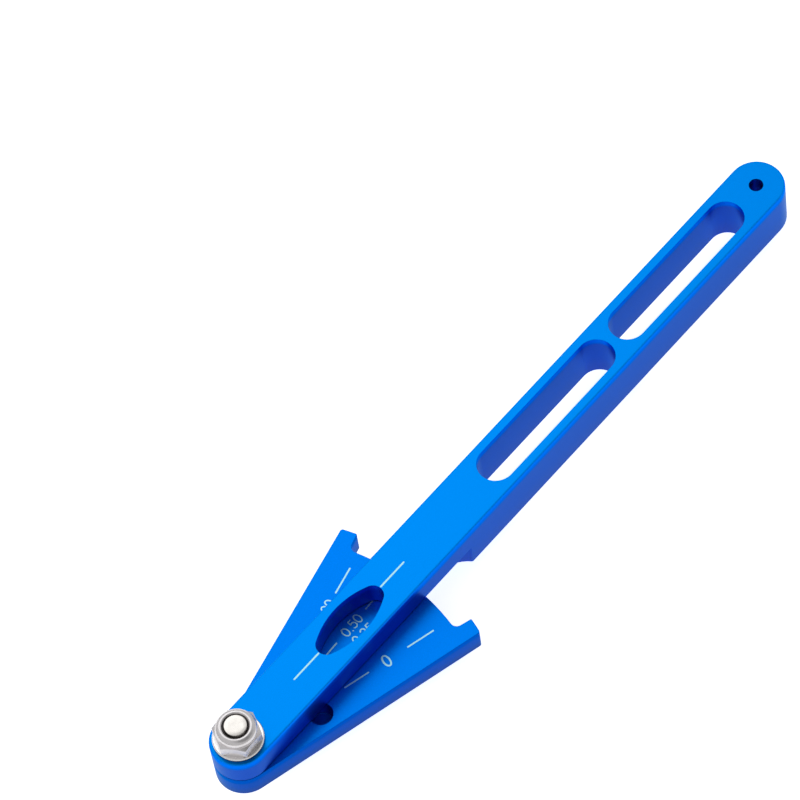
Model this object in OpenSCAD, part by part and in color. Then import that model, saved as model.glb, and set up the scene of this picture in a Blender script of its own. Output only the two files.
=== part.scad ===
// Chain wear gauge with a swinging scale plate.
// A slotted bar carries a fixed measuring pin at one end and a flared scale plate
// on a pivot screw at the other. A second measuring pin stands beside the pivot
// under the plate, so swinging the plate spreads the pins, and the plate's scale
// shows through the bar's window how far. A tongue under the bar stands between
// the plate's two horns and stops the swing just past each end of the scale.
// The origin is on the fixed pin's axis, in the plane of the flat underside.
// X runs along the bar away from the pivot, Z is up.

/* [Chain] */
// Pitch of the chain that the gauge measures
chain_pitch = 12.7; // [8:0.1:15.9]
// Links between the two rollers that the pins push apart
links = 13; // [9:2:15]
// Diameter of a chain roller
roller_d = 7.75; // [5:0.05:8.5]

/* [Bar] */
// Width of the bar
bar_w = 12; // [11:0.5:16]
// Full thickness of the bar
bar_t = 12; // [11:0.5:16]
// Thickness of the arm that lies over the scale plate
arm_t = 6.2; // [4:0.1:8]
// Bevel along the bar's outer edges
bar_bevel = 0.3; // [0.1:0.05:0.8]
// Distance from the pivot to the shoulder where the bar is full again
shoulder_x = 62.9; // [62:0.1:68]

/* [Slots] */
// Number of slots through the bar
slot_count = 2; // [1:1:2]
// Width of a slot
slot_w = 8; // [4:0.5:9]
// Length of a slot over its round ends
slot_len = 39.4; // [20:0.2:40]
// Web between two slots
slot_web = 2.1; // [1.5:0.1:8]
// Distance from the fixed pin's axis to the nearest slot
slot_margin = 6.1; // [4:0.1:8]

/* [Window] */
// Distance from the pivot to the middle of the window
window_x = 33.4; // [28:0.1:38]
// Length of the window
window_len = 18.4; // [12:0.2:22]
// Width of the window
window_w = 7.8; // [5:0.1:9]
// Radius of the window's long sides
window_side_r = 18; // [14:0.5:40]

/* [Scale plate] */
// Angle of each side of the plate to its centre line
flare = 14; // [10:0.5:18]
// Distance from the pivot to the tips of the horns
horn_r = 53.3; // [52:0.1:55]
// Distance from the pivot to the floor of the recess between the horns
recess_r = 49.4; // [46:0.1:50]
// Angle of each horn's inner wall to the centre line
horn_angle = 16.65; // [15.5:0.05:18]
// Fillet in the corners of the recess
recess_fillet = 1.4; // [0.5:0.1:1.8]
// Rounding of each horn's outer corner
horn_round = 0.6; // [0.2:0.1:1]
// Rounding of each horn's inner corner
tip_round = 0.3; // [0.1:0.1:0.6]
// Diameter of the blind pocket beside the pivot
pocket_d = 4.9; // [3:0.1:6]
// Distance from the pivot to the pocket
pocket_r = 17.5; // [15:0.5:24]
// Angle of the pocket to the centre line
pocket_angle = 20.6; // [18:0.2:22]
// Floor left under the pocket
pocket_floor = 1; // [0.6:0.1:2]

/* [Stop tongue] */
// Width of the tongue between the horns
tongue_w = 4; // [2.5:0.1:4.6]
// Gap between the tongue and the floor of the recess
tongue_gap = 0.4; // [0.2:0.1:1]
// Radius of the hollow flanks that widen the tongue to the shoulder
flank_r = 8; // [7:0.5:12]

/* [Measuring pins] */
// Diameter of each measuring pin
pin_d = 4; // [3:0.1:4.2]
// Length of each pin below the underside
pin_reach = 3; // [2:0.1:6]
// Bevel at the pin's tip
pin_bevel = 0.3; // [0.1:0.1:0.6]
// Diameter of the pins' pressed stems
stem_d = 3; // [2:0.1:3]
// Length of the fixed pin's stem
fixed_stem_len = 7; // [4:0.5:9]
// Length of the moving pin's stem
moving_stem_len = 4; // [3:0.1:4.5]
// Distance from the pivot to the moving pin
pin_orbit = 8.16; // [7.8:0.01:10]
// Angle of the moving pin off the bar's line at reading 0
new_angle = 9.1; // [5:0.1:20]
// Reading that the gauge shows, in percent
reading = 0.395; // [0:0.005:1]

/* [Pivot] */
// Diameter of the pivot screw
screw_d = 5; // [4:0.5:5]
// Diameter of the countersink's mouth
sink_d = 10; // [9:0.1:10.6]
// Bevel at the screw's end
screw_bevel = 0.4; // [0.1:0.1:0.6]
// Width across flats of the screw's hexagon socket
socket_af = 3; // [2.5:0.5:4]
// Depth of the socket
socket_depth = 1.8; // [1.5:0.1:2]
// Thickness of the slip washer between plate and bar
slip_t = 0.3; // [0.2:0.05:0.6]
// Outer diameter of the slip washer
slip_d = 10; // [8:0.2:11]
// Outer diameter of the washer under the nut
washer_d = 10.4; // [9.6:0.1:11]
// Thickness of the washer under the nut
washer_t = 1; // [0.8:0.1:1.4]
// Width across flats of the lock nut
nut_af = 8.7; // [8.4:0.1:9]
// Height of the lock nut
nut_h = 4.7; // [4.2:0.1:5.5]
// Height of the nut's hexagon
nut_hex_h = 2.9; // [2.5:0.1:3.2]
// Bevel under the nut's hexagon, and on its flats at the top
nut_bevel = 0.15; // [0.1:0.05:0.3]
// Turn of the nut on the screw
nut_turn = 2; // [0:1:59]
// Diameter of the nut's round collar
collar_d = 8; // [7.4:0.1:8.1]
// Rounding at the top of the collar
collar_round = 0.9; // [0.3:0.1:1]
// Wall round the nylon ring
collar_wall = 0.45; // [0.35:0.05:0.6]
// Length of the screw that shows above the nut
screw_stand = 0.2; // [0.1:0.1:1]

/* [Clearances] */
// Radial clearance of the pivot screw in the scale plate
running_gap = 0.05; // [0.02:0.01:0.1]
// Radial clearance of the pivot screw in the bar and washers
screw_gap = 0.15; // [0.1:0.05:0.3]
// Radial clearance drawn round pressed stems, the thread and the nylon ring
press_gap = 0.01; // [0.005:0.005:0.03]
// Depth of the screw's head below the underside
head_sink = 0.15; // [0.1:0.05:0.3]
// Space left above the moving pin's stem
stem_space = 0.2; // [0.1:0.1:0.5]

/* [Hidden] */
$fn = 96;
// How far a cut reaches past the face that it goes through
over = 1;
// How far an arc crosses the edge that it blends into
graze = 0.002;

// Distance between the pins' axes at a reading in percent
function pin_spacing(percent) =
    links * chain_pitch * (1 + percent / 100) - roller_d - pin_d;
// Pivot, moving pin and fixed pin are a triangle, so the law of cosines ties them
pivot_to_pin = pin_orbit * cos(new_angle)
    + sqrt(pow(pin_spacing(0), 2) - pow(pin_orbit * sin(new_angle), 2));
// Angle of the moving pin off the bar's line at a reading in percent
function pin_angle(percent) =
    -acos((pow(pivot_to_pin, 2) + pow(pin_orbit, 2) - pow(pin_spacing(percent), 2))
        / (2 * pivot_to_pin * pin_orbit));
// The pin's place on the plate puts the middle of the scale on the centre line
pin_on_plate = (pin_angle(0) + pin_angle(1)) / 2;
swing = pin_angle(reading) - pin_on_plate;

// Heights above the underside
plate_t = bar_t - arm_t - slip_t;
arm_z = plate_t + slip_t;
washer_top = bar_t + washer_t;
hex_top = washer_top + nut_hex_h;
nut_top = washer_top + nut_h;
screw_top = nut_top + screw_stand;

// Groove in the nut's collar that holds the nylon ring, and the lip above it
ring_r = collar_d / 2 - collar_wall;
ring_z = hex_top + screw_stand;
ring_h = nut_top - collar_wall - ring_z;
lip_r = screw_d / 2 + screw_stand;

// Corner radius of the lens-shaped window, tangent to its long sides
window_off = window_side_r - window_w / 2;
window_tip_r = (window_side_r * window_side_r - window_off * window_off - window_len * window_len / 4)
    / (2 * window_side_r - window_len);

blue = [0.0, 0.36, 0.86];
plate_blue = [0.0, 0.31, 0.80];
steel = [0.78, 0.79, 0.80];
nylon = [0.25, 0.25, 0.27];

module at_pivot()
    translate([-pivot_to_pin, 0, 0])
        children();

module on_plate()
    at_pivot()
        rotate(swing)
            children();

// Round-ended slot centred on the origin, long way along X
module slot_2d(length, width)
    union() {
        square([length - width, width], center = true);
        for (side = [-1, 1])
            translate([side * (length - width) / 2, 0])
                circle(d = width);
    }

// Lens with rounded tips: two wide arcs that run into two small ones
module window_2d() {
    tip_x = window_len / 2 - window_tip_r;
    join_x = tip_x * window_side_r / (window_side_r - window_tip_r);
    union() {
        intersection() {
            translate([0, -window_off])
                circle(r = window_side_r, $fn = 240);
            translate([0, window_off])
                circle(r = window_side_r, $fn = 240);
            square([2 * join_x, window_w + over], center = true);
        }
        for (side = [-1, 1])
            translate([side * tip_x, 0])
                circle(r = window_tip_r);
    }
}

// Tongue and its flanks in plan, measured from the pivot
module tongue_2d() {
    step_y = (bar_w - tongue_w) / 2;
    flank_len = sqrt(flank_r * flank_r - pow(flank_r - step_y, 2));
    tip_x = recess_r + tongue_gap;
    union() {
        translate([tip_x + tongue_w / 2, 0])
            circle(d = tongue_w);
        translate([tip_x + tongue_w / 2, -tongue_w / 2])
            square([shoulder_x - tip_x, tongue_w]);
        difference() {
            translate([shoulder_x - flank_len, -bar_w])
                square([flank_len + 2 * over, 2 * bar_w]);
            for (side = [-1, 1])
                translate([shoulder_x - flank_len, side * (tongue_w / 2 + flank_r)])
                    circle(r = flank_r, $fn = 160);
        }
    }
}

// Bar before it is cut: one bevelled section, swept straight and turned at both ends
module bar_blank() {
    half_w = bar_w / 2;
    half_section = [
        [0, 0],
        [half_w - bar_bevel, 0],
        [half_w, bar_bevel],
        [half_w, bar_t - bar_bevel],
        [half_w - bar_bevel, bar_t],
        [0, bar_t]
    ];
    union() {
        at_pivot()
            rotate([90, 0, 90])
                linear_extrude(pivot_to_pin)
                    union() {
                        polygon(half_section);
                        mirror([1, 0])
                            polygon(half_section);
                    }
        at_pivot()
            rotate_extrude()
                polygon(half_section);
        rotate_extrude()
            polygon(half_section);
    }
}

module bar() color(blue)
    difference() {
        bar_blank();
        // space for the scale plate under the arm, around the tongue
        at_pivot()
            translate([0, 0, -over])
                linear_extrude(arm_z + over)
                    difference() {
                        translate([-bar_w, -bar_w])
                            square([bar_w + shoulder_x + over, 2 * bar_w]);
                        tongue_2d();
                    }
        at_pivot()
            translate([window_x, 0, -over])
                linear_extrude(bar_t + 2 * over)
                    window_2d();
        for (i = [0 : slot_count - 1])
            translate([-slot_margin - slot_len / 2 - i * (slot_len + slot_web), 0, -over])
                linear_extrude(bar_t + 2 * over)
                    slot_2d(slot_len, slot_w);
        at_pivot()
            translate([0, 0, -over])
                cylinder(d = screw_d + 2 * screw_gap, h = bar_t + 2 * over);
        translate([0, 0, -over])
            cylinder(d = stem_d, h = bar_t + 2 * over);
    }

// Takes away what lies outside an arc about a centre, between two directions
module round_off(centre, r, from_angle, to_angle, reach) {
    middle = (from_angle + to_angle) / 2;
    far = reach / cos((to_angle - from_angle) / 4);
    translate(centre)
        difference() {
            polygon([
                [0, 0],
                [far * cos(from_angle), far * sin(from_angle)],
                [2 * far * cos(middle), 2 * far * sin(middle)],
                [far * cos(to_angle), far * sin(to_angle)]
            ]);
            circle(r = r + graze);
        }
}

// Plan of the scale plate with its pivot at the origin
module plate_2d() {
    round_r = bar_w / 2;
    side_r = round_r - graze;
    reach = horn_r + over;
    // the flared sides meet at this distance behind the pivot
    apex = side_r / sin(flare);
    // recess walls are radial, and their fillets touch wall and floor
    fillet_at = recess_r + recess_fillet;
    fillet_angle = horn_angle - asin(recess_fillet / fillet_at);
    wall_at = sqrt(fillet_at * fillet_at - recess_fillet * recess_fillet);
    // roundings of the horns' corners touch the outer arc and a side or wall
    outer_at = horn_r - horn_round;
    outer_angle = flare + asin((round_r - horn_round) / outer_at);
    inner_at = horn_r - tip_round;
    inner_angle = horn_angle + asin(tip_round / inner_at);
    difference() {
        intersection() {
            polygon([
                [-apex, 0],
                [reach, (apex + reach) * tan(flare)],
                [reach, -(apex + reach) * tan(flare)]
            ]);
            circle(r = horn_r, $fn = 360);
        }
        // round end
        for (side = [-1, 1])
            round_off([0, 0], side_r, side * 180, side * (90 + flare), apex + over);
        // recess between the horns
        difference() {
            polygon([
                [0, 0],
                [2 * reach * cos(fillet_angle), 2 * reach * sin(fillet_angle)],
                [2 * reach * cos(fillet_angle), -2 * reach * sin(fillet_angle)]
            ]);
            circle(r = recess_r, $fn = 360);
        }
        for (side = [-1, 1]) {
            translate([fillet_at * cos(fillet_angle), side * fillet_at * sin(fillet_angle)])
                circle(r = recess_fillet + graze);
            polygon([
                [fillet_at * cos(fillet_angle - 1), side * fillet_at * sin(fillet_angle - 1)],
                [wall_at * cos(horn_angle), side * wall_at * sin(horn_angle)],
                [2 * reach * cos(horn_angle), side * 2 * reach * sin(horn_angle)],
                [2 * reach * cos(fillet_angle - 1), side * 2 * reach * sin(fillet_angle - 1)]
            ]);
            round_off(
                [outer_at * cos(outer_angle), side * outer_at * sin(outer_angle)],
                horn_round, side * outer_angle, side * (90 + flare), 3 * horn_round);
            round_off(
                [inner_at * cos(inner_angle), side * inner_at * sin(inner_angle)],
                tip_round, side * (horn_angle - 90), side * inner_angle, 3 * tip_round);
        }
    }
}

module scale_plate() color(plate_blue)
    on_plate()
        difference() {
            linear_extrude(plate_t)
                plate_2d();
            translate([0, 0, -over])
                cylinder(d = screw_d + 2 * running_gap, h = plate_t + 2 * over);
            // countersink at 90 degrees for the screw's head
            rotate_extrude()
                polygon([
                    [0, -over],
                    [sink_d / 2, -over],
                    [sink_d / 2, 0],
                    [0, sink_d / 2]
                ]);
            rotate(-pocket_angle)
                translate([pocket_r, 0, pocket_floor])
                    cylinder(d = pocket_d, h = plate_t);
            rotate(pin_on_plate)
                translate([pin_orbit, 0, -over])
                    cylinder(d = stem_d, h = moving_stem_len + stem_space + over);
        }

// Turned pin: stem upwards from its shoulder, measuring length downwards
module measuring_pin(stem_len)
    rotate_extrude()
        polygon([
            [0, -pin_reach],
            [pin_d / 2 - pin_bevel, -pin_reach],
            [pin_d / 2, -pin_reach + pin_bevel],
            [pin_d / 2, 0],
            [stem_d / 2 - press_gap, 0],
            [stem_d / 2 - press_gap, stem_len - pin_bevel],
            [stem_d / 2 - press_gap - pin_bevel, stem_len],
            [0, stem_len]
        ]);

module fixed_pin() color(steel)
    measuring_pin(fixed_stem_len);

module moving_pin() color(steel)
    on_plate()
        rotate(pin_on_plate)
            translate([pin_orbit, 0, 0])
                measuring_pin(moving_stem_len);

// Countersunk screw, head down, with its cone just clear of the countersink
module pivot_screw() color(steel) {
    rim_h = head_sink;
    rim_r = sink_d / 2 - head_sink - rim_h - running_gap;
    screw_r = screw_d / 2;
    at_pivot()
        difference() {
            rotate_extrude()
                polygon([
                    [0, head_sink],
                    [rim_r, head_sink],
                    [rim_r, head_sink + rim_h],
                    [screw_r, head_sink + rim_h + rim_r - screw_r],
                    [screw_r, screw_top - screw_bevel],
                    [screw_r - screw_bevel, screw_top],
                    [0, screw_top]
                ]);
            translate([0, 0, -over])
                cylinder(d = socket_af / cos(30), h = over + head_sink + socket_depth, $fn = 6);
        }
}

module washer(outer_d, thickness, edge)
    rotate_extrude()
        polygon([
            [screw_d / 2 + screw_gap, 0],
            [outer_d / 2, 0],
            [outer_d / 2, thickness - edge],
            [outer_d / 2 - edge, thickness],
            [screw_d / 2 + screw_gap, thickness]
        ]);

module slip_washer() color(steel)
    at_pivot()
        translate([0, 0, plate_t])
            washer(slip_d, slip_t, slip_t / 4);

module flat_washer() color(steel)
    at_pivot()
        translate([0, 0, bar_t])
            washer(washer_d, washer_t, washer_t / 5);

module lock_nut() color(steel) {
    corner_r = nut_af / 2 / cos(30);
    seat_r = corner_r - nut_bevel;
    chamfer_r = nut_af / 2 - nut_bevel;
    chamfer_h = (corner_r - chamfer_r) * tan(30);
    at_pivot()
        difference() {
            union() {
                // hexagon with both faces turned to cones at its corners
                intersection() {
                    translate([0, 0, washer_top])
                        rotate(nut_turn)
                            cylinder(d = nut_af / cos(30), h = nut_hex_h, $fn = 6);
                    rotate_extrude()
                        polygon([
                            [0, washer_top],
                            [seat_r, washer_top],
                            [corner_r + over, washer_top + (nut_bevel + over) * tan(30)],
                            [corner_r + over, hex_top - chamfer_h - over * tan(30)],
                            [chamfer_r, hex_top],
                            [0, hex_top]
                        ]);
                }
                rotate_extrude()
                    union() {
                        translate([0, hex_top - over])
                            square([collar_d / 2, nut_h - nut_hex_h + over - collar_round]);
                        translate([0, hex_top])
                            square([collar_d / 2 - collar_round, nut_top - hex_top]);
                        translate([collar_d / 2 - collar_round, nut_top - collar_round])
                            circle(r = collar_round);
                    }
            }
            cylinder(r = screw_d / 2 + press_gap, h = nut_top + over);
            translate([0, 0, ring_z])
                cylinder(r = ring_r, h = ring_h);
            translate([0, 0, ring_z])
                cylinder(r = lip_r, h = nut_h);
        }
}

module nylon_ring() color(nylon)
    at_pivot()
        translate([0, 0, ring_z])
            difference() {
                cylinder(r = ring_r - press_gap, h = ring_h - press_gap);
                translate([0, 0, -over])
                    cylinder(r = screw_d / 2 + press_gap, h = ring_h + 2 * over);
            }

bar();
scale_plate();
fixed_pin();
moving_pin();
pivot_screw();
slip_washer();
flat_washer();
lock_nut();
nylon_ring();
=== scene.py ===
# %% [markdown]
# Chain wear gauge, dressed for its picture.
#
# The solids of the gauge come in as a fixed frame, already in metres and already in
# place. This script gives them their finishes and adds what solids leave out: the pale
# marks of the scale, the index line, the screw's thread, the lock nut's arched flats and
# the broken edges.

# %% Load the frame
import bpy
import math
import numpy as np
from mathutils import Matrix, Vector


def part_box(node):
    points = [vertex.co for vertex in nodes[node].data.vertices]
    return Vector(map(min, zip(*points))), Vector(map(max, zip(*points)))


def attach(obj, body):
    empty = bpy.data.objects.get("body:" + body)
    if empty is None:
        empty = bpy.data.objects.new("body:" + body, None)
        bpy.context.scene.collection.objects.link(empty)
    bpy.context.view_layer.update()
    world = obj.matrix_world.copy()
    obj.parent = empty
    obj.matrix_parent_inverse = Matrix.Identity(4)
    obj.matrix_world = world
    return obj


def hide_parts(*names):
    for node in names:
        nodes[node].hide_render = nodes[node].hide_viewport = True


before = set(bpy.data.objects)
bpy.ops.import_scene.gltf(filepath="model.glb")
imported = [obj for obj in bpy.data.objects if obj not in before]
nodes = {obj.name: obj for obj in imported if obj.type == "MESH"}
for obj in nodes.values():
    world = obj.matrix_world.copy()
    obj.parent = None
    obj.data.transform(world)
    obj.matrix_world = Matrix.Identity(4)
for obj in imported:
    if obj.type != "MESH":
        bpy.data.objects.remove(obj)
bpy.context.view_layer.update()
print("nodes:", sorted(nodes))

MM = 0.001

# %% [markdown]
# The camera comes first. A long lens from about 1.2 m away, looking down at 59
# degrees, sees the gauge the way the picture does, with hardly any perspective. The
# turn about the line of sight lays the bar along the picture's diagonal. Blender wants
# a rotation matrix whose columns are the camera's right, its up and its backward axis,
# so those three are worked out first and put side by side.

# %% Camera
AZIMUTH, ELEVATION, ROLL = math.radians(-40.846), math.radians(59.373), math.radians(-9.897)
TARGET = Vector((-79.04, 30.239, 0.0)) * MM
DISTANCE = 1161.04 * MM
FOCAL_PIXELS, PICTURE_PIXELS, SENSOR = 5678.42, 800, 36
FOCAL = FOCAL_PIXELS / PICTURE_PIXELS * SENSOR
NEAREST, FARTHEST = 0.01, 20

backward = Vector((
    math.sin(AZIMUTH) * math.cos(ELEVATION),
    -math.cos(AZIMUTH) * math.cos(ELEVATION),
    math.sin(ELEVATION),
))
level_right = Vector((0, 0, 1)).cross(backward).normalized()
level_up = backward.cross(level_right)
right = math.cos(ROLL) * level_right + math.sin(ROLL) * level_up
up = -math.sin(ROLL) * level_right + math.cos(ROLL) * level_up

camera_data = bpy.data.cameras.new("camera")
camera_data.lens = FOCAL
camera_data.sensor_width = SENSOR
camera_data.sensor_fit = "HORIZONTAL"
camera_data.clip_start = NEAREST
camera_data.clip_end = FARTHEST
camera = bpy.data.objects.new("camera", camera_data)
bpy.context.scene.collection.objects.link(camera)
turn = Matrix((right, up, backward)).transposed()
camera.matrix_world = Matrix.Translation(TARGET + backward * DISTANCE) @ turn.to_4x4()
bpy.context.scene.camera = camera
print("camera lens", round(FOCAL, 1), "mm at", [round(x, 3) for x in camera.location])

# %% [markdown]
# New surfaces are worked out with numpy. A surface is a grid of points: one
# index runs along a profile, the other round or along a path. Laying quads over the
# grid is the same work each time, so one helper does it, and it can close the grid
# round either way. It writes whole arrays into the mesh and never loops over points.

# %% Helpers that put grids into meshes
def grid_faces(rows, columns, wrap_columns=False, wrap_rows=False):
    """Quads between neighbouring points of a grid, counted row by row."""
    i = np.arange(rows if wrap_rows else rows - 1)[:, None]
    j = np.arange(columns if wrap_columns else columns - 1)[None, :]
    a = i * columns + j
    b = i * columns + (j + 1) % columns
    c = (i + 1) % rows * columns + (j + 1) % columns
    d = (i + 1) % rows * columns + j
    return np.stack([a, b, c, d], axis=-1).reshape(-1, 4)


def make_piece(name, points, faces, body, smooth=True):
    """Mesh object at the origin, from points in metres, that rides on a body."""
    mesh = bpy.data.meshes.new(name)
    mesh.from_pydata(np.asarray(points, float).tolist(), [], faces)
    mesh.polygons.foreach_set("use_smooth", np.full(len(mesh.polygons), smooth))
    mesh.update()
    piece = bpy.data.objects.new(name, mesh)
    bpy.context.scene.collection.objects.link(piece)
    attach(piece, body)
    print(name, len(mesh.polygons), "faces")
    return piece


print("a grid of 3 by 4 points has", len(grid_faces(3, 4)), "faces, closed round",
      len(grid_faces(3, 4, wrap_columns=True)))

# %% [markdown]
# The scale plate swings about the pivot screw, so everything on it is laid out in
# polar terms: a distance from the pivot and an angle to the plate's centre line. The
# plate rests at the angle where the gauge reads just under 0.4 percent. The angles of the
# marks aren't even: pivot, moving pin and fixed pin are a triangle, so equal steps of the
# distance between the pins are unequal steps of angle. The law of cosines that places
# the pin in the solids places the marks here. ORBIT is the moving pin's distance from the
# pivot, and NEW_ANGLE its angle to the bar on a new chain. Lengths here are in
# millimetres, and MM turns them into metres when they go into a mesh.

# %% Geometry of the scale
CHAIN_PITCH, LINKS, ROLLER, PIN = 12.7, 13, 7.75, 4.0
ORBIT, NEW_ANGLE = 8.16, math.radians(9.1)
READING = 0.395
PLATE_TOP, BAR_TOP = 5.5, 12.0
NUMBERS = {0: "0", 0.25: "0.25", 0.5: "0.50", 0.75: "0.75", 1: "1.00"}


def pin_spacing(percent):
    """Distance between the pins: the worn chain's length less one roller and one pin."""
    return LINKS * CHAIN_PITCH * (1 + percent / 100) - ROLLER - PIN


PIVOT_TO_PIN = ORBIT * math.cos(NEW_ANGLE) + math.sqrt(
    pin_spacing(0) ** 2 - (ORBIT * math.sin(NEW_ANGLE)) ** 2)
PIVOT_X = -PIVOT_TO_PIN


def pin_angle(percent):
    """Law of cosines: the squares of both sides at the pivot, less that of the far side,
    over twice the product of the sides at the pivot."""
    sides = PIVOT_TO_PIN ** 2 + ORBIT ** 2 - pin_spacing(percent) ** 2
    return -math.acos(sides / (2 * PIVOT_TO_PIN * ORBIT))


PIN_ON_PLATE = (pin_angle(0) + pin_angle(1)) / 2
SWING = pin_angle(READING) - PIN_ON_PLATE


def mark_angle(percent):
    """Angle on the plate of the mark that meets the index line at that reading."""
    return PIN_ON_PLATE - pin_angle(percent)


print("marks at", [round(math.degrees(mark_angle(percent)), 2) for percent in NUMBERS])

# %% [markdown]
# The figures and lines are pale marks lasered into the blue. Each is one pen stroke of
# even width, so a stroke is a path with a flat profile carried along it. At every point
# of the path the profile is set square to the path's direction. The ends are rounded by
# letting the width shrink over the last steps like the edge of a circle. A font
# would do too, but strokes match the plain round figures of engraving machines.

# %% Pen strokes
RUN_STEPS, TIP_STEPS = 6, 5
CLEAR_OF_TIP = 0.001
LEAST_SQUARE = 1e-8


def arc(cx, cy, rx, ry, start, end, steps=20):
    """Points of an ellipse: centre plus radii times cosine and sine of an angle in degrees."""
    t = np.radians(np.linspace(start, end, steps))
    return np.stack([cx + rx * np.cos(t), cy + ry * np.sin(t)], axis=1)


def line(*corners):
    """Points spaced evenly along straight runs between the corners."""
    runs = [np.linspace(a, b, RUN_STEPS, endpoint=False) for a, b in zip(corners, corners[1:])]
    return np.concatenate(runs + [np.array([corners[-1]], float)])


def round_ended(path, width):
    """An open path with extra points near its tips, and half the stroke's width at each:
    that of a circle of the stroke's width, at the distance to the tip.
    The path must be at least one width long."""
    tips = (1 - np.cos(np.linspace(0, math.pi / 2, TIP_STEPS + 1)))[:-1] * width / 2
    steps = np.linalg.norm(np.diff(path, axis=0), axis=1)
    length = np.concatenate([[0], np.cumsum(steps)])
    whole = length[-1]
    clear = width / 2 + CLEAR_OF_TIP
    inner = length[(length > clear) & (length < whole - clear)]
    s = np.concatenate([tips, [width / 2], inner, [whole - width / 2], (whole - tips)[::-1]])
    placed = np.stack([np.interp(s, length, path[:, k]) for k in (0, 1)], axis=1)
    to_tip = np.minimum(np.minimum(s, whole - s), width / 2)
    half = np.sqrt(np.maximum(width ** 2 / 4 - (width / 2 - to_tip) ** 2, LEAST_SQUARE))
    return placed, np.gradient(placed, s, axis=0), half


def stroke_edges(path, width, closed=False):
    """Left and right edge of a stroke: each path point moved half a width along its normal."""
    path = np.asarray(path, float)
    if closed:
        path = path[:-1]
        along = np.roll(path, -1, axis=0) - np.roll(path, 1, axis=0)
        half = np.full(len(path), width / 2)
    else:
        path, along, half = round_ended(path, width)
    along /= np.linalg.norm(along, axis=1)[:, None]
    normal = np.stack([-along[:, 1], along[:, 0]], axis=1) * half[:, None]
    return path + normal, path - normal


print("a straight stroke has", len(stroke_edges(line((0, 0), (1, 0)), 0.2)[0]), "points a side")

# %% [markdown]
# Each figure is one path in a box that is one wide and one high. Only the 0 is a closed
# path. The decimal point is a short line on the figures' foot, in a narrower box.

# %% Figures
FIGURES = {
    "0": (arc(0.5, 0.5, 0.5, 0.5, 0, 360, 41), True),
    "1": (line((0.1, 0.78), (0.5, 1.0), (0.5, 0.0)), False),
    "2": (np.concatenate([arc(0.48, 0.72, 0.44, 0.28, 165, -30, 18),
                          line((0.8, 0.5), (0.02, 0.0), (1.0, 0.0))]), False),
    "5": (np.concatenate([line((0.9, 1.0), (0.2, 1.0), (0.12, 0.56)),
                          arc(0.46, 0.33, 0.48, 0.33, 130, -150, 22)]), False),
    "7": (line((0.02, 1.0), (0.98, 1.0), (0.32, 0.0)), False),
    ".": (line((0.11, 0.0), (0.89, 0.0)), False),
}
POINT_SHARE = 0.33
FIGURE_GAP = 0.35


def number_strokes(text, middle, height, width, stroke):
    """Figures side by side along X, centred on middle, each scaled from its unit box."""
    widths = [POINT_SHARE * width if figure == "." else width for figure in text]
    start = middle - (sum(widths) + FIGURE_GAP * (len(text) - 1)) / 2
    strokes = []
    for figure, wide in zip(text, widths):
        path, closed = FIGURES[figure]
        strokes.append((path * [wide, height] + [start, -height / 2], closed, stroke))
        start += wide + FIGURE_GAP
    return strokes


print("figures:", " ".join(FIGURES))

# %% [markdown]
# A mark has hardly any height, but it still needs an underside. So each stroke becomes a
# thin box: its left and right edges are set at two heights, one a little inside the blue
# and one just over it, so that no gap shows. Four points a step make a grid like any
# other, and an open stroke gets one more quad at each end.

# %% Boxes over strokes
STROKE_RISE, STROKE_SINK = 0.012, 0.05


def turned(angle):
    """Places flat points: turned by an angle about the pivot, which lies on the X axis."""
    c, s = math.cos(angle), math.sin(angle)
    return lambda p: np.stack([c * p[:, 0] - s * p[:, 1] + PIVOT_X,
                               s * p[:, 0] + c * p[:, 1]], axis=1)


def stroke_boxes(strokes, place, top):
    """Boxes over strokes: left and right edges at two heights, each box a closed grid."""
    points, faces, count = [], [], 0
    heights = np.array([-STROKE_SINK, STROKE_RISE, STROKE_RISE, -STROKE_SINK]) + top
    for path, closed, width in strokes:
        left, right_edge = stroke_edges(path, width, closed)
        profile = np.stack([left, left, right_edge, right_edge], axis=1)
        flat = place(profile.reshape(-1, 2)).reshape(profile.shape)
        levels = np.broadcast_to(heights[None, :, None], flat.shape[:2] + (1,))
        box = np.concatenate([flat, levels], axis=2).reshape(-1, 3)
        quads = grid_faces(len(left), 4, wrap_columns=True, wrap_rows=closed)
        if not closed:
            quads = np.concatenate([quads, [[0, 1, 2, 3], len(box) - 1 - np.arange(4)]])
        faces.append(quads + count)
        points.append(box)
        count += len(box)
    return np.concatenate(points) * MM, np.concatenate(faces)


def straight(radii, width):
    """Strokes along X from each first to each second radius."""
    return [(line((start, 0), (end, 0)), False, width) for start, end in radii]


sample, _ = stroke_boxes(straight([(0, 1)], 0.2), turned(0), 0)
print("the box of a straight stroke has", len(sample), "points")

# %% [markdown]
# A mark is an inner line, its number and an outer line, all on one ray from the pivot.
# Numbers read outwards, so a figure's width runs along the ray and its height across it.
# All strokes of the plate are joined into one piece, and the two of the bar into another.
# Two numbers stand a little past their rays, away from the pair next to them.

# %% Marks of the scale and the index line
LINE_RADII, LINE_WIDTH = ((24.3, 30.2), (39.4, 45.8)), 0.33
INDEX_RADII, INDEX_WIDTH = ((16.5, 24.1), (42.7, 50.0)), 0.36
LONE_NUMBER = {"middle": 34.4, "height": 2.55, "width": 1.34, "stroke": 0.37}
LONG_NUMBER = {"middle": 34.97, "height": 2.0, "width": 1.2, "stroke": 0.28}
NUMBER_SHIFT = {"0.25": math.radians(1.9), "0.75": math.radians(0.6)}

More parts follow.
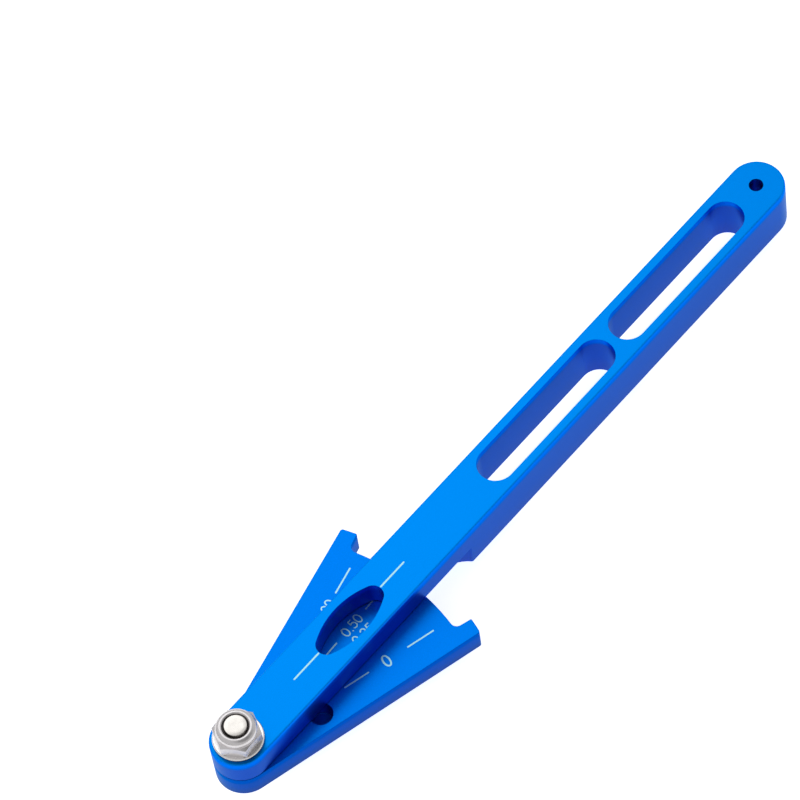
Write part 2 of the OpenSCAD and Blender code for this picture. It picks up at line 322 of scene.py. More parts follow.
mark_points, mark_faces, count = [], [], 0
for percent, text in NUMBERS.items():
    ray = SWING + mark_angle(percent)
    number = number_strokes(text, **(LONE_NUMBER if text == "0" else LONG_NUMBER))
    aside = ray + NUMBER_SHIFT.get(text, 0.0)
    for strokes, angle in ((straight(LINE_RADII, LINE_WIDTH), ray), (number, aside)):
        points, faces = stroke_boxes(strokes, turned(angle), PLATE_TOP)
        mark_points.append(points)
        mark_faces.append(faces + count)
        count += len(points)
mark_points, mark_faces = np.concatenate(mark_points), np.concatenate(mark_faces)
assert np.isfinite(mark_points).all()
scale_marks = make_piece("scale_marks", mark_points, mark_faces.tolist(), "plate",
                         smooth=False)

points, faces = stroke_boxes(straight(INDEX_RADII, INDEX_WIDTH), turned(0), BAR_TOP)
index_line = make_piece("index_line", points, faces.tolist(), "frame",
                        smooth=False)

# %% [markdown]
# Screw and nut are turned shapes, and partly hexagons. Both come from a stack of rings
# about the pivot's axis: a ring has a radius and a height for every angle. Equal radii
# make a circle. For a hexagon the radius at an angle is half the width across flats over
# the cosine of the angle to the nearest flat's middle.

# %% Rings about the pivot
def hexagon_radius(theta, across_flats):
    """Half the width across flats over the cosine of the angle to the nearest flat."""
    return across_flats / 2 / np.cos((theta + math.pi / 6) % (math.pi / 3) - math.pi / 6)


def ring(theta, radius, height):
    """One ring: radius and height are single numbers, or arrays over the angle."""
    return np.stack([np.full_like(theta, radius), np.full_like(theta, height)], axis=1)


def ring_points(rings, theta):
    """Points: radius times the angle's cosine and sine, set beside the pivot, and height."""
    radius, height = np.array(rings)[:, :, 0], np.array(rings)[:, :, 1]
    x, y = radius * np.cos(theta) + PIVOT_X, radius * np.sin(theta)
    return np.stack([x, y, height], axis=2).reshape(-1, 3) * MM


print("a hexagon's corners reach", round(float(hexagon_radius(math.pi / 6, 2.0)), 3),
      "times as far as its flats")

# %% [markdown]
# The pivot screw starts at the floor of its hexagon socket, goes round the countersunk
# head and up the plain shank to the thread. The thread is a ridge that climbs by one
# pitch a turn: its depth depends on the height over the pitch, less the share of the
# turn. It fades in and out, so that shank and tip stay round. The rows give a share of
# the hexagon or a radius, each with a height, and for the tip a depth under its top.

# %% Pivot screw with thread and socket
SCREW_R, PITCH, THREAD_DEPTH, SCREW_TOP = 2.5, 0.8, 0.43, 17.9
THREAD_FOOT, FADE_IN = 11.0, 0.8
THREAD_END, FADE_END, FADE_OUT = 0.85, 0.6, 0.5
FLANK, CREST = 1.25, 0.12
HEAD_R, HEAD_Z, HEAD_EDGE = 4.65, 0.15, 0.06
SOCKET_AF, SOCKET_FLOOR = 3.0, 1.95
ROUND_STEPS, THREAD_STEPS = 96, 150
SOCKET_ROWS = ((0.4, SOCKET_FLOOR), (0.8, SOCKET_FLOOR), (1.0, 1.9), (1.0, HEAD_Z))
HEAD_ROWS = ((3.4, HEAD_Z), (HEAD_R - HEAD_EDGE, HEAD_Z), (HEAD_R, HEAD_Z + HEAD_EDGE),
             (HEAD_R, 0.3), (2.56, 2.38), (SCREW_R, 2.5), (SCREW_R, 5.8), (SCREW_R, 10.7))
TIP_ROWS = ((2.29, 0.72), (2.28, 0.07), (2.26, 0.02), (2.20, 0), (1.4, 0), (0.7, 0))


def thread_wave(height, theta):
    """Thread's depth from 0 to 1: a triangle wave of height over pitch less the share of
    the turn, made steeper and cut off flat at crest and root."""
    phase = (height / PITCH - theta / (2 * math.pi)) % 1
    return np.clip(np.abs(2 * phase - 1) * FLANK - CREST, 0, 1)


theta = np.linspace(0, 2 * math.pi, ROUND_STEPS, endpoint=False)
shank = np.linspace(THREAD_FOOT, SCREW_TOP - THREAD_END, THREAD_STEPS)
fade = (np.clip((shank - THREAD_FOOT) / FADE_IN, 0, 1)
        * np.clip((SCREW_TOP - shank - FADE_END) / FADE_OUT, 0, 1))
rings = [ring(theta, hexagon_radius(theta, SOCKET_AF) * share, z) for share, z in SOCKET_ROWS]
rings += [ring(theta, r, z) for r, z in HEAD_ROWS]
rings += [ring(theta, SCREW_R - THREAD_DEPTH * share * thread_wave(z, theta), z)
          for z, share in zip(shank, fade)]
rings += [ring(theta, r, SCREW_TOP - depth) for r, depth in TIP_ROWS]

# %% [markdown]
# The socket's floor and the flat tip are closed by fans of triangles round one point
# each, so the screw has no open edge.

# %% Closed ends of the screw
poles = np.array([[PIVOT_X, 0, SOCKET_FLOOR], [PIVOT_X, 0, SCREW_TOP]]) * MM
screw_points = np.concatenate([ring_points(rings, theta), poles])
floor_pole, tip_pole = len(screw_points) - 2, len(screw_points) - 1
around = np.arange(len(theta))
after = (around + 1) % len(theta)
tip_row = floor_pole - len(theta)
screw_faces = grid_faces(len(rings), len(theta), wrap_columns=True).tolist()
screw_faces += np.stack([np.full_like(around, floor_pole), after, around], axis=1).tolist()
screw_faces += np.stack([np.full_like(around, tip_pole), tip_row + around,
                         tip_row + after], axis=1).tolist()
threaded_screw = make_piece("threaded_pivot_screw", screw_points, screw_faces, "frame")
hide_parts("pivot_screw")

# %% [markdown]
# The lock nut's rings that follow the flats take the hexagon's radius at each angle.
# Where the top cone cuts the flats, the cut's height is a function of that radius, so
# the row bends into the arcs seen on every nut. Above it come the neck, the crimped
# collar and its lip, and the last ring closes on the first one inside the bore. Edge
# Split keeps the corners between the flats crisp and lets the cone shade smoothly.

# %% Lock nut with arched flats and a crimped collar
NUT_AF, NUT_TURN = 8.7, math.radians(2)
NUT_FOOT, HEX_TOP, CONE_SLOPE = 13.0, 15.9, math.tan(math.radians(30))
CONE_R, SEAT_R, SEAT_BEVEL, SEAT_LIFT = 4.27, 4.22, 0.12, 0.02
NUT_STEPS, FLAT_STEPS, CONE_SHARES = 180, 9, (0.33, 0.67, 1.0)
SPLIT_ANGLE = math.radians(24)
BORE_ROWS = ((3.6, 17.0), (3.6, 16.0), (2.6, 15.9), (2.6, 13.1), (2.7, NUT_FOOT),
             (SEAT_R, NUT_FOOT))
COLLAR_ROWS = (
    (4.10, 15.91), (4.02, 15.98), (4.06, 16.1), (4.17, 16.2), (4.2, 16.3), (4.2, 16.6),
    (4.16, 16.85), (4.06, 17.08), (3.9, 17.28), (3.68, 17.45), (3.42, 17.58), (3.2, 17.64),
    (3.0, 17.64), (2.84, 17.57), (2.74, 17.46), (2.70, 17.34), (2.70, 17.27), (3.5, 17.26))

nut_theta = np.linspace(0, 2 * math.pi, NUT_STEPS, endpoint=False) + NUT_TURN
flat_r = hexagon_radius(nut_theta - NUT_TURN + math.pi / 6, NUT_AF)
cut_z = HEX_TOP - (flat_r - CONE_R) * CONE_SLOPE
past_seat = np.maximum(flat_r - NUT_AF / 2 - SEAT_BEVEL * 2, 0)
foot_z = NUT_FOOT + past_seat * CONE_SLOPE + SEAT_LIFT

nut_rings = [ring(nut_theta, r, z) for r, z in BORE_ROWS]
nut_rings += [ring(nut_theta, flat_r, foot_z + (cut_z - foot_z) * share)
              for share in np.linspace(0, 1, FLAT_STEPS)]
nut_rings += [ring(nut_theta, flat_r + (CONE_R - flat_r) * share,
                   cut_z + (HEX_TOP - cut_z) * share) for share in CONE_SHARES]
nut_rings += [ring(nut_theta, r, z) for r, z in COLLAR_ROWS]
nut_faces = grid_faces(len(nut_rings), len(nut_theta), wrap_columns=True, wrap_rows=True)
arched_nut = make_piece("arched_lock_nut", ring_points(nut_rings, nut_theta),
                        nut_faces.tolist(), "frame")
sharp = arched_nut.modifiers.new("sharp_edges", "EDGE_SPLIT")
sharp.split_angle = SPLIT_ANGLE
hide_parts("lock_nut")

# %% [markdown]
# The bar's upper edge is rounder than its other edges, so a bevel of its own will go over
# it. A vertex group tells the bevel where. It holds points of the solid and moves none.

# %% The bar's upper rim
BAR_HALF_WIDTH, RIM_DEPTH, ON_WALL = 6.0, 1.0, 0.02


def mark_rim(solid):
    """Vertex group of the upper wall's edge: points near the top whose distance to the
    bar's middle line, from pivot to fixed pin, is the bar's half width."""
    flat = np.empty(len(solid.data.vertices) * 3)
    solid.data.vertices.foreach_get("co", flat)
    whole = np.array(solid.matrix_world)
    x, y, z = (flat.reshape(-1, 3) @ whole[:3, :3].T + whole[:3, 3]).T / MM
    off_line = np.hypot(x - np.clip(x, PIVOT_X, 0), y)
    on_rim = (z > BAR_TOP - RIM_DEPTH) & (np.abs(off_line - BAR_HALF_WIDTH) < ON_WALL)
    rim = solid.vertex_groups.new(name="top_rim")
    rim.add(np.nonzero(on_rim)[0].tolist(), 1.0, "REPLACE")
    print("points on the rim:", int(on_rim.sum()), "at height",
          sorted(set(np.round(z[on_rim], 2).tolist())))


mark_rim(nodes["bar"])

# %% [markdown]
# The solids arrive as loose triangles with sharp edges. Real milled edges are broken
# a little, and that thin band is what catches the light. Modifiers do it without
# touching the solid's own points: Weld joins the triangles, Decimate makes each flat
# face one face, Bevel cuts a narrow band along every edge sharper than 28 degrees, and
# Weighted Normal keeps flat faces flat.

# %% Broken edges on the solids
RIM_WIDTH, RIM_STEPS, EDGE_STEPS = 0.40, 5, 2
WELD_GAP = 0.002
FLAT_ANGLE, SHARP_ANGLE = math.radians(0.2), math.radians(28)
FLATNESS_WEIGHT = 80
EDGE_WIDTH = {
    "bar": 0.06, "scale_plate": 0.08, "flat_washer": 0.06,
    "slip_washer": 0.04, "fixed_pin": 0.06, "moving_pin": 0.06, "nylon_ring": 0.03,
}


def break_edges(solid, width):
    """Weld, whole faces, a two step bevel on sharp edges, then normals weighted by area."""
    solid.data.polygons.foreach_set("use_smooth", np.full(len(solid.data.polygons), True))
    weld = solid.modifiers.new("weld", "WELD")
    weld.merge_threshold = WELD_GAP * MM
    dissolve = solid.modifiers.new("whole_faces", "DECIMATE")
    dissolve.decimate_type = "DISSOLVE"
    dissolve.angle_limit = FLAT_ANGLE
    if "top_rim" in solid.vertex_groups:
        round_over = solid.modifiers.new("round_rim", "BEVEL")
        round_over.limit_method = "VGROUP"
        round_over.vertex_group = "top_rim"
        round_over.width = RIM_WIDTH * MM
        round_over.segments = RIM_STEPS
    bevel = solid.modifiers.new("broken_edge", "BEVEL")
    bevel.limit_method = "ANGLE"
    bevel.angle_limit = SHARP_ANGLE
    bevel.width = width * MM
    bevel.segments = EDGE_STEPS
    normals = solid.modifiers.new("flat_faces", "WEIGHTED_NORMAL")
    normals.weight = FLATNESS_WEIGHT


for name, width in EDGE_WIDTH.items():
    break_edges(nodes[name], width)
print("edges broken on", len(EDGE_WIDTH), "solids")

# %% [markdown]
# Materials are trees of small nodes. A few helpers keep them readable: one adds a node,
# one feeds a socket with a number, a colour or another node's output, one does
# arithmetic, and one steps smoothly from one level to another between two limits. The
# last two blend colours and turn a height into a tilted normal.

# %% Helpers for node trees
def add(tree, kind, **settings):
    """New node with its settings."""
    node = tree.nodes.new(kind)
    for key, value in settings.items():
        setattr(node, key, value)
    return node


def feed(tree, target, value):
    """Links an output to the target socket, or writes a number or a colour into it."""
    if isinstance(value, bpy.types.NodeSocket):
        tree.links.new(value, target)
    elif isinstance(value, tuple) and target.type == "RGBA":
        target.default_value = value + (1,)
    else:
        target.default_value = value


def calculate(tree, operation, *values):
    """Math node with its inputs fed in order."""
    node = add(tree, "ShaderNodeMath", operation=operation)
    for target, value in zip(node.inputs, values):
        feed(tree, target, value)
    return node.outputs[0]


def ramp(tree, value, start, end, first, last, kind="SMOOTHSTEP"):
    """A value between two limits, carried over to two levels and held outside them."""
    step = add(tree, "ShaderNodeMapRange", interpolation_type=kind)
    titles = ("Value", "From Min", "From Max", "To Min", "To Max")
    for title, number in zip(titles, (value, start, end, first, last)):
        feed(tree, step.inputs[title], number)
    return step.outputs["Result"]


def mix_colours(tree, factor, first, second, blend="MIX"):
    """Colours or outputs, mixed by a factor or multiplied."""
    mix = add(tree, "ShaderNodeMix", data_type="RGBA", blend_type=blend, clamp_factor=True)
    for place, value in ((0, factor), (6, first), (7, second)):
        feed(tree, mix.inputs[place], value)
    return mix.outputs[2]


def tilted_by(tree, height, strength, depth):
    """Normal tilted by the slope of a height that is given as a share of a depth in mm."""
    bump = add(tree, "ShaderNodeBump")
    for title, value in (("Strength", strength), ("Distance", depth * MM), ("Height", height)):
        feed(tree, bump.inputs[title], value)
    return bump.outputs["Normal"]


helpers = (add, feed, calculate, ramp, mix_colours, tilted_by)
print("node helpers:", ", ".join(helper.__name__ for helper in helpers))

# %% [markdown]
# Three effects are used by several materials, so each is a group of nodes with named
# sockets. Fine grain is what bead blasting leaves under the anodising: a noise of one or
# two tenths of a millimetre that tilts the surface and speckles its colour. The second
# tells tops from walls. The third measures how far a point lies inside the bar's outline.

# %% Node groups
GRAIN_DETAIL, GRAIN_ROUGHNESS = 3, 0.6
NOISE_LOW, NOISE_HIGH = 0.3, 0.7


def group_with(name, inputs, outputs):
    """Empty node group with float sockets and its two end nodes."""
    group = bpy.data.node_groups.new(name, "ShaderNodeTree")
    for title, value in inputs.items():
        made = group.interface.new_socket(name=title, in_out="INPUT",
                                          socket_type="NodeSocketFloat")
        made.default_value = value
    for title in outputs:
        group.interface.new_socket(name=title, in_out="OUTPUT", socket_type="NodeSocketFloat")
    return group, group.nodes.new("NodeGroupInput"), group.nodes.new("NodeGroupOutput")


def build_grain():
    """Grain: noise in object space as a height, and squeezed round its middle as a speckle."""
    group, inside, outside = group_with(
        "Blasted grain", {"Grains per metre": 9000.0, "Speckle": 0.1}, ("Height", "Speckle"))
    where = add(group, "ShaderNodeTexCoord")
    noise = add(group, "ShaderNodeTexNoise")
    for title, value in (("Vector", where.outputs["Object"]),
                         ("Scale", inside.outputs["Grains per metre"]),
                         ("Detail", GRAIN_DETAIL), ("Roughness", GRAIN_ROUGHNESS)):
        feed(group, noise.inputs[title], value)
    darkest = calculate(group, "SUBTRACT", 1, inside.outputs["Speckle"])
    speckle = ramp(group, noise.outputs["Fac"], NOISE_LOW, NOISE_HIGH, darkest, 1, "LINEAR")
    feed(group, outside.inputs["Height"], noise.outputs["Fac"])
    feed(group, outside.inputs["Speckle"], speckle)
    return group


# This mask lets walls be painted darker than tops: painted shade.
def build_facing_up():
    """Top mask: 1 where the surface faces up or down, 0 on walls, from the normal's height."""
    group, inside, outside = group_with(
        "Blasted tops", {"Wall limit": 0.25, "Top limit": 0.85}, ("Top",))
    parts = add(group, "ShaderNodeSeparateXYZ")
    feed(group, parts.inputs["Vector"], add(group, "ShaderNodeNewGeometry").outputs["Normal"])
    upright = calculate(group, "ABSOLUTE", parts.outputs["Z"])
    mask = ramp(group, upright, inside.outputs["Wall limit"], inside.outputs["Top limit"], 0, 1)
    feed(group, outside.inputs["Top"], mask)
    return group


def build_inset():
    """Distance inside a round-ended outline: its half width less the distance to the line
    between its ends. The height over the underside comes with it."""
    group, inside, outside = group_with(
        "Inset from the outline",
        {"First end": PIVOT_X * MM, "Last end": 0.0, "Half width": BAR_HALF_WIDTH * MM},
        ("Inset", "Height"))
    parts = add(group, "ShaderNodeSeparateXYZ")
    feed(group, parts.inputs["Vector"], add(group, "ShaderNodeTexCoord").outputs["Object"])
    held = add(group, "ShaderNodeClamp")
    for title, value in (("Value", parts.outputs["X"]), ("Min", inside.outputs["First end"]),
                         ("Max", inside.outputs["Last end"])):
        feed(group, held.inputs[title], value)
    flat = add(group, "ShaderNodeCombineXYZ")
    past_end = calculate(group, "SUBTRACT", parts.outputs["X"], held.outputs["Result"])
    feed(group, flat.inputs["X"], past_end)
    feed(group, flat.inputs["Y"], parts.outputs["Y"])
    reach = add(group, "ShaderNodeVectorMath", operation="LENGTH")
    feed(group, reach.inputs[0], flat.outputs["Vector"])
    inset = calculate(group, "SUBTRACT", inside.outputs["Half width"], reach.outputs["Value"])
    feed(group, outside.inputs["Inset"], inset)
    feed(group, outside.inputs["Height"], parts.outputs["Z"])
    return group


GRAIN, TOPS, INSET = build_grain(), build_facing_up(), build_inset()
print("node groups:", ", ".join(group.name for group in (GRAIN, TOPS, INSET)))

# %% [markdown]
# Every material starts as a Principled shader and an output, and a shared group is set
# in with this material's own values.

# %% Materials and groups in them
def new_material(name):
    """Material with an empty tree, a Principled shader and an output."""
    material = bpy.data.materials.new(name)
    material.use_nodes = True
    tree = material.node_tree
    tree.nodes.clear()
    shader = add(tree, "ShaderNodeBsdfPrincipled")
    output = add(tree, "ShaderNodeOutputMaterial")
    tree.links.new(shader.outputs["BSDF"], output.inputs["Surface"])
    return material, tree, shader


def place_group(tree, group, **values):
    """Group node with its inputs set by name, spaces written as underscores."""
    node = add(tree, "ShaderNodeGroup", node_tree=group)
    for key, value in values.items():
        node.inputs[key.replace("_", " ")].default_value = value
    return node.outputs


print("materials so far:", len(bpy.data.materials))

# %% [markdown]
# The arm's outer wall has only the blue plate under it, and what it mirrors is painted into its
# colour: a purer blue than the bar's other walls, a painted reflection of the plate. A mask
# finds it: it is 1 along the arm's length and near the bar's outline, and fades to 0 at both
# ends and further in.

# %% Where the arm's outer wall lies
ARM_START, ARM_END = (-160 * MM, -155 * MM), (-121 * MM, -114 * MM)
OUTER_WALL = (0.5 * MM, 1.5 * MM)


def arm_reflection_mask(tree, inset):
    """Product of three steps: past the arm's start, before its end, and near the outline."""
    along = add(tree, "ShaderNodeSeparateXYZ")
    feed(tree, along.inputs["Vector"], add(tree, "ShaderNodeTexCoord").outputs["Object"])
    from_end = ramp(tree, along.outputs["X"], *ARM_START, 0, 1)
    over_plate = ramp(tree, along.outputs["X"], *ARM_END, 1, 0)
    near_outline = ramp(tree, inset, *OUTER_WALL, 1, 0)
    on_arm = calculate(tree, "MULTIPLY", from_end, over_plate)
    return calculate(tree, "MULTIPLY", on_arm, near_outline)


print("the arm's wall runs from", ARM_START[0], "to", ARM_END[1], "m")

# %% [markdown]
# Blue anodising is a clear dyed layer on bare aluminium, so it behaves as a tinted metal: what
# it mirrors comes back blue, and two blue faces that mirror each other turn navy. The blasted
# top is bright azure. The walls are painted duller than the top and a little violet, and darker
# at their foot: painted shade. Towards their upper edge they are painted a purer blue: a
# painted highlight. Specular Tint is the metal's colour close to a grazing angle, so a bluish
# one keeps what the walls mirror there from turning white. A thin darker line of painted shade
# runs where the rim's rounding meets the flat top.

# %% Anodised blue
EDGE_TINT, RIM_TINT = (0.58, 0.85, 1.0), (0.15, 0.70, 1.0)
LINE_START, LINE_END = (0.30 * MM, 0.38 * MM), (0.42 * MM, 0.54 * MM)
BLUE_GRAINS, BLUE_SPECKLE, ROUGHNESS_SWING = 5000.0, 0.12, 0.04
BLUE_BUMP, BLUE_BUMP_DEPTH = 0.25, 0.03


def anodised(name, top, wall_foot, wall, wall_head_highlight, heights, edge_shade_line, roughness,
             arm_wall_plate_reflection=None):
    """Tinted metal: top and wall by facing, the walls in painted shade, their colours by height
    with a painted highlight at the head, grain over all. Heights in mm: where the foot's colour
    ends, and where the head's begins and is full. Along the arm the wall takes a painted
    reflection of the blue plate that faces it."""
    material, tree, shader = new_material(name)
    place = place_group(tree, INSET)
    foot_end, head_start, head_full = (height * MM for height in heights)
    # Walls in painted shade, darker still at their foot.
    walls = mix_colours(tree, ramp(tree, place["Height"], 0.0, foot_end, 0, 1), wall_foot, wall)
    # Along the arm the walls take a painted reflection of the blue plate.
    if arm_wall_plate_reflection:
        walls = mix_colours(tree, arm_reflection_mask(tree, place["Inset"]), walls, arm_wall_plate_reflection)
    # Towards the wall's upper edge: a painted highlight.
    near_rim = ramp(tree, place["Height"], head_start, head_full, 0, 1)
    walls = mix_colours(tree, near_rim, walls, wall_head_highlight)
    blue = mix_colours(tree, place_group(tree, TOPS)["Top"], walls, top)
    # A thin line of painted shade where the rim's rounding meets the flat top.
    line_in = ramp(tree, place["Inset"], *LINE_START, 0, edge_shade_line)
    line_out = ramp(tree, place["Inset"], *LINE_END, 0, edge_shade_line)
    shade = calculate(tree, "ADD", calculate(tree, "SUBTRACT", line_out, line_in), 1)
    grain = place_group(tree, GRAIN, Grains_per_metre=BLUE_GRAINS, Speckle=BLUE_SPECKLE)
    lined = mix_colours(tree, 1, blue, shade, "MULTIPLY")
    rough = ramp(tree, grain["Height"], 0, 1, roughness - ROUGHNESS_SWING,
                 roughness + ROUGHNESS_SWING, "LINEAR")
    for title, value in (
        ("Metallic", 1.0), ("Roughness", rough),
        ("Base Color", mix_colours(tree, 1, lined, grain["Speckle"], "MULTIPLY")),
        ("Specular Tint", mix_colours(tree, near_rim, EDGE_TINT, RIM_TINT)),
        ("Normal", tilted_by(tree, grain["Height"], BLUE_BUMP, BLUE_BUMP_DEPTH)),
    ):
        feed(tree, shader.inputs[title], value)
    return material


print("grain of about", round(1000 / BLUE_GRAINS, 2), "mm, roughness up and down by",
      ROUGHNESS_SWING)

# %% [markdown]
# Bar and plate are the same blue, but the plate lies in the bar's shade and its walls are only
# 5.5 mm high, so it has colours and heights of its own: its blues are painted darker, as
# painted shade of the bar.

# %% Blue of the bar and blue of the plate
bar_blue = anodised(
    "Anodised bar", top=(0.0, 0.290, 1.0), wall_foot=(0.036, 0.084, 0.53),
    wall=(0.018, 0.084, 0.59), wall_head_highlight=(0.0, 0.180, 1.0), heights=(6.0, 9.8, 11.3),
    edge_shade_line=0.1, roughness=0.36, arm_wall_plate_reflection=(0.006, 0.095, 0.8))
plate_blue = anodised(
    "Anodised plate", top=(0.0, 0.240, 1.0), wall_foot=(0.032, 0.075, 0.38),
    wall=(0.008, 0.080, 0.55), wall_head_highlight=(0.0, 0.095, 0.62), heights=(3.0, 3.6, 5.3),
    edge_shade_line=0.0, roughness=0.38)
print("blues:", bar_blue.name, "and", plate_blue.name)

# %% [markdown]
# The nut, washers, screw and pins are bright plated steel. Turning leaves fine rings round the
# axis, so the bump is a noise of the distance to that axis alone. A cloudy noise varies how
# sharp the plating mirrors. The walls of thin steel parts mirror what stands close to them, so
# most of them are painted a darker colour than the tops: painted shade.

# %% Plated steel
STEEL_WALL, STEEL_TOP = 0.1, 0.5
RINGS_PER_METRE, RING_DETAIL, RING_DEPTH = 9000, 2, 0.02
CLOUDS_PER_METRE, CLOUD_DETAIL = 900, 4
SHARPER, DULLER = 0.05, 0.08
PIN_COLOUR, PIN_ROUGHNESS = (0.72, 0.72, 0.73), 0.2


def plated_steel(name, axis_x, axis_y, colour, roughness, walls=1.0, rings=0.12):
    """Rings are noise of the distance to an upright axis, clouds vary the roughness. Walls take
    the colour times a share, as painted shade."""
    material, tree, shader = new_material(name)
    tops = place_group(tree, TOPS, Wall_limit=STEEL_WALL, Top_limit=STEEL_TOP)["Top"]
    # Walls darker than tops: painted shade.
    shaded_wall_colour = tuple(part * walls for part in colour)
    where = add(tree, "ShaderNodeTexCoord").outputs["Object"]
    centred = add(tree, "ShaderNodeMapping")
    for title, value in (("Vector", where), ("Location", (-axis_x * MM, -axis_y * MM, 0)),
                         ("Scale", (1, 1, 0))):
        feed(tree, centred.inputs[title], value)
    reach = add(tree, "ShaderNodeVectorMath", operation="LENGTH")
    feed(tree, reach.inputs[0], centred.outputs["Vector"])
    turning = add(tree, "ShaderNodeTexNoise", noise_dimensions="1D")
    clouds = add(tree, "ShaderNodeTexNoise")
    for noise, title, value in (
        (turning, "W", reach.outputs["Value"]), (turning, "Scale", RINGS_PER_METRE),
        (turning, "Detail", RING_DETAIL), (clouds, "Vector", where),
        (clouds, "Scale", CLOUDS_PER_METRE), (clouds, "Detail", CLOUD_DETAIL),
    ):
        feed(tree, noise.inputs[title], value)
    rough = ramp(tree, clouds.outputs["Fac"], NOISE_LOW, NOISE_HIGH, roughness - SHARPER,
                 roughness + DULLER, "LINEAR")
    for title, value in (
        ("Metallic", 1.0), ("Roughness", rough),
        ("Base Color", mix_colours(tree, tops, shaded_wall_colour, colour)),
        ("Normal", tilted_by(tree, turning.outputs["Fac"], rings, RING_DEPTH)),
    ):
        feed(tree, shader.inputs[title], value)
    return material


print("turning rings about", round(1000 / RINGS_PER_METRE, 2), "mm apart")

# %% [markdown]
# Each part turns about its own axis, so the rings need its place. The screw, the nut and
# the washers share the pivot's axis, and each pin has one. The moving pin's is read off
# the solid, because it depends on the swing.

# %% Steel of each part
pivot_steel = plated_steel("Plated steel of the screw", PIVOT_X, 0, (0.84, 0.81, 0.77),
                           roughness=0.25, walls=0.25)
nut_steel = plated_steel("Plated steel of the nut", PIVOT_X, 0, (0.79, 0.765, 0.775),
                         roughness=0.30, walls=0.94, rings=0.04)
washer_steel = plated_steel("Plated steel of the washers", PIVOT_X, 0, (0.96, 0.94, 0.93),
                            roughness=0.22, walls=0.28, rings=0.03)
fixed_pin_steel = plated_steel("Ground steel of the fixed pin", 0, 0, PIN_COLOUR,
                               PIN_ROUGHNESS)
moving_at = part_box("moving_pin")
moving_x = (moving_at[0].x + moving_at[1].x) / 2 / MM
moving_y = (moving_at[0].y + moving_at[1].y) / 2 / MM
moving_pin_steel = plated_steel("Ground steel of the moving pin", moving_x, moving_y,
                                PIN_COLOUR, PIN_ROUGHNESS)
print("moving pin's axis at", round(moving_x, 2), round(moving_y, 2), "mm")

# %% [markdown]
# The nylon ring is a dark matt plastic, and the lasered marks are bare metal, burnt
# clean of their dye. Both are one colour with a fine grain.

# %% Nylon and lasered marks
PLAIN_BUMP, PLAIN_BUMP_DEPTH = 0.2, 0.02


def plain_grained(name, colour, roughness, grains, speckle, metal=0.0):
    """Speckled colour and a fine bump, metal by a share."""
    material, tree, shader = new_material(name)
    grain = place_group(tree, GRAIN, Grains_per_metre=grains, Speckle=speckle)
    for title, value in (
        ("Metallic", metal), ("Roughness", roughness),
        ("Base Color", mix_colours(tree, 1, colour, grain["Speckle"], "MULTIPLY")),
        ("Normal", tilted_by(tree, grain["Height"], PLAIN_BUMP, PLAIN_BUMP_DEPTH)),
    ):
        feed(tree, shader.inputs[title], value)
    return material


nylon = plain_grained("Nylon ring", (0.055, 0.045, 0.045), roughness=0.45, grains=4000.0,
                      speckle=0.1)
# The marks' cyan tint is partly their own and partly painted: it stands in for the blue light
# that the anodised faces round them throw back.
laser_white = plain_grained("Lasered marks", (0.52, 0.93, 1.0), roughness=0.4, grains=9000.0,
                            speckle=0.08, metal=0.9)
print("plain finishes:", nylon.name, "and", laser_white.name)

# %% [markdown]
# Now every piece gets its finish. The two solids that a new piece replaces get theirs
# too, so that nothing is left bare.

# %% Who wears what
def dress(piece, material):
    """One material on the whole piece."""
    piece.data.materials.clear()
    piece.data.materials.append(material)


for material, pieces in (
    (bar_blue, [nodes["bar"]]),
    (plate_blue, [nodes["scale_plate"]]),
    (fixed_pin_steel, [nodes["fixed_pin"]]),
    (moving_pin_steel, [nodes["moving_pin"]]),
    (pivot_steel, [nodes["pivot_screw"], threaded_screw]),
    (washer_steel, [nodes["slip_washer"], nodes["flat_washer"]]),
    (nut_steel, [nodes["lock_nut"], arched_nut]),
    (nylon, [nodes["nylon_ring"]]),
    (laser_white, [scale_marks, index_line]),
):
    for piece in pieces:
        dress(piece, material)
print("materials:", len(bpy.data.materials))

# %% [markdown]
# The stage is a pale floor under the pins' tips. It adds a little light of its own
# for camera and mirror rays only. That makes the background white and keeps the
# shadow, and puts no more light on the gauge.

# %% Floor
FLOOR_Z, FLOOR_REACH = -3.0 * MM, 3.0
FLOOR_WHITE, FLOOR_ROUGHNESS = 0.92, 0.9
MIRROR_GLOW, CAMERA_GLOW = 0.55, 0.25

floor_mesh = bpy.data.meshes.new("floor")
corners = ((-1, -1), (1, -1), (1, 1), (-1, 1))
floor_mesh.from_pydata([(x * FLOOR_REACH, y * FLOOR_REACH, FLOOR_Z) for x, y in corners],
                       [], [(0, 1, 2, 3)])
floor = bpy.data.objects.new("floor", floor_mesh)
bpy.context.scene.collection.objects.link(floor)

floor_paint, floor_tree, floor_shader = new_material("Floor")
rays = add(floor_tree, "ShaderNodeLightPath").outputs
mirrored = calculate(floor_tree, "MAXIMUM", rays["Is Camera Ray"], rays["Is Glossy Ray"])
seen = calculate(floor_tree, "MAXIMUM", mirrored, rays["Is Transmission Ray"])
glow = calculate(floor_tree, "MULTIPLY", seen, MIRROR_GLOW)
for title, value in (
    ("Base Color", (FLOOR_WHITE,) * 3), ("Roughness", FLOOR_ROUGHNESS),
    ("Specular IOR Level", 0.0), ("Emission Color", (1, 1, 1)),
    ("Emission Strength",
     calculate(floor_tree, "MULTIPLY_ADD", rays["Is Camera Ray"], CAMERA_GLOW, glow)),
):
    feed(floor_tree, floor_shader.inputs[title], value)
dress(floor, floor_paint)
print("floor at", FLOOR_Z)

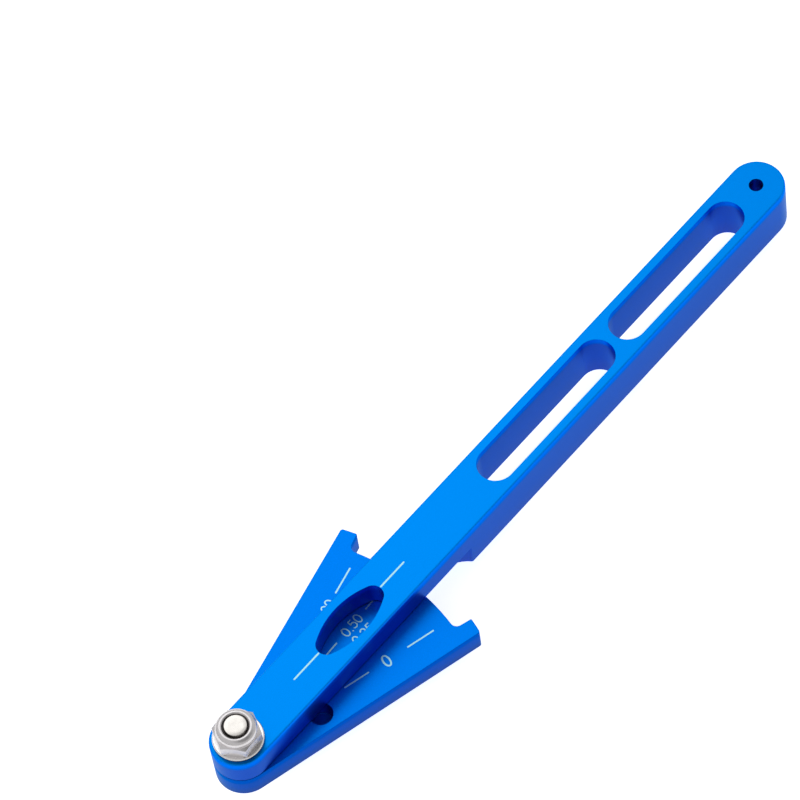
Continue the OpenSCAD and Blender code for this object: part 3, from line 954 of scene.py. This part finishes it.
# %% [markdown]
# The studio light is soft: the world from all round, brighter above than at the
# horizon, and dimmed round one direction on the near side, so that rounded metal shows a
# darker patch beside the bright ones. One big lamp above and behind the gauge lets the
# arm's shade fall on the scale plate in front of it.

# %% World and lamp
HORIZON_LIGHT, SKY_LIGHT, SKY_CLIMB = 0.42, 0.74, 0.35
DIM_SIDE = Vector((0.10, -0.45, 0.88)).normalized()
DIM_START, DIM_FULL, DIM_LEVEL = 0.80, 0.97, 0.35
LAMP_SIZE, LAMP_POWER = 0.7, 1.15
LAMP_PLACE, LAMP_AIM = (0.10, 0.55, 0.75), Vector((-0.08, 0, 0))

world = bpy.data.worlds.new("studio")
bpy.context.scene.world = world
world.use_nodes = True
sky = world.node_tree
sky.nodes.clear()
sky_out = add(sky, "ShaderNodeOutputWorld")
sky_light = add(sky, "ShaderNodeBackground")
direction = add(sky, "ShaderNodeTexCoord").outputs["Generated"]
sky_parts = add(sky, "ShaderNodeSeparateXYZ")
towards = add(sky, "ShaderNodeVectorMath", operation="DOT_PRODUCT")
for target, value in ((sky_parts.inputs["Vector"], direction), (towards.inputs[0], direction),
                      (towards.inputs[1], DIM_SIDE)):
    feed(sky, target, value)
climb = ramp(sky, sky_parts.outputs["Z"], 0.0, SKY_CLIMB, HORIZON_LIGHT, SKY_LIGHT)
dim = ramp(sky, towards.outputs["Value"], DIM_START, DIM_FULL, 1.0, DIM_LEVEL)
feed(sky, sky_light.inputs["Strength"], calculate(sky, "MULTIPLY", climb, dim))
feed(sky, sky_out.inputs["Surface"], sky_light.outputs["Background"])

lamp_data = bpy.data.lights.new("softbox", "AREA")
lamp_data.shape = "RECTANGLE"
lamp_data.size = LAMP_SIZE
lamp_data.size_y = LAMP_SIZE
lamp_data.energy = LAMP_POWER
lamp = bpy.data.objects.new("softbox", lamp_data)
bpy.context.scene.collection.objects.link(lamp)
lamp.location = LAMP_PLACE
lamp.rotation_euler = (LAMP_AIM - lamp.location).to_track_quat("-Z", "Y").to_euler()

bpy.context.scene.view_settings.view_transform = "Standard"
print("lamp at", [round(x, 2) for x in lamp.location], "with", LAMP_POWER, "W")
